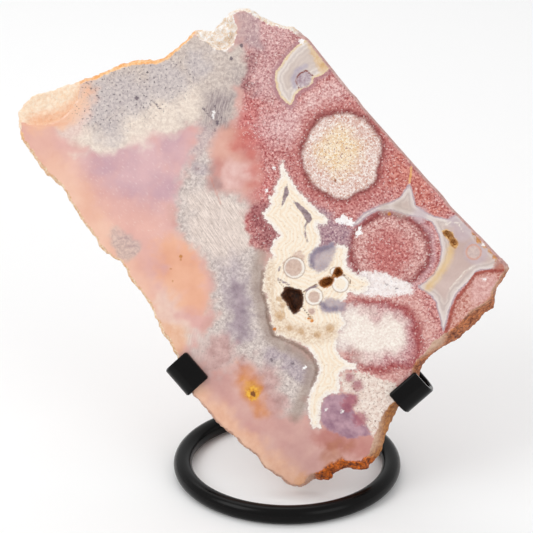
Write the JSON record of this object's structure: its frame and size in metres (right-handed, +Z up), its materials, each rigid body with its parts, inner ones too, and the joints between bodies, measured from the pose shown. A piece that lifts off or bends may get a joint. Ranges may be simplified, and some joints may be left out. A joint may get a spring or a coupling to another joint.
{
  "type": "mineral slice on stand",
  "caption": "Polished slice of pink amethyst with a rough natural rim, leaning in the two folded strap hooks of a black ring stand",
  "frame": {"origin": "on the table under the middle of the whole object", "axes": "+X to the viewer's right, +Y back, +Z up; the polished face looks towards -Y and up by 20 degrees"},
  "size_m": [0.2122, 0.1012, 0.1927],
  "materials": {
    "stone": "polished face, rough rind",
    "black_coat": "satin"
  },
  "bodies": {
    "root": {"slab": "stone", "base_ring": "black_coat", "upright": "black_coat", "left_arm": "black_coat", "right_arm": "black_coat"}
  },
  "joints": []
}
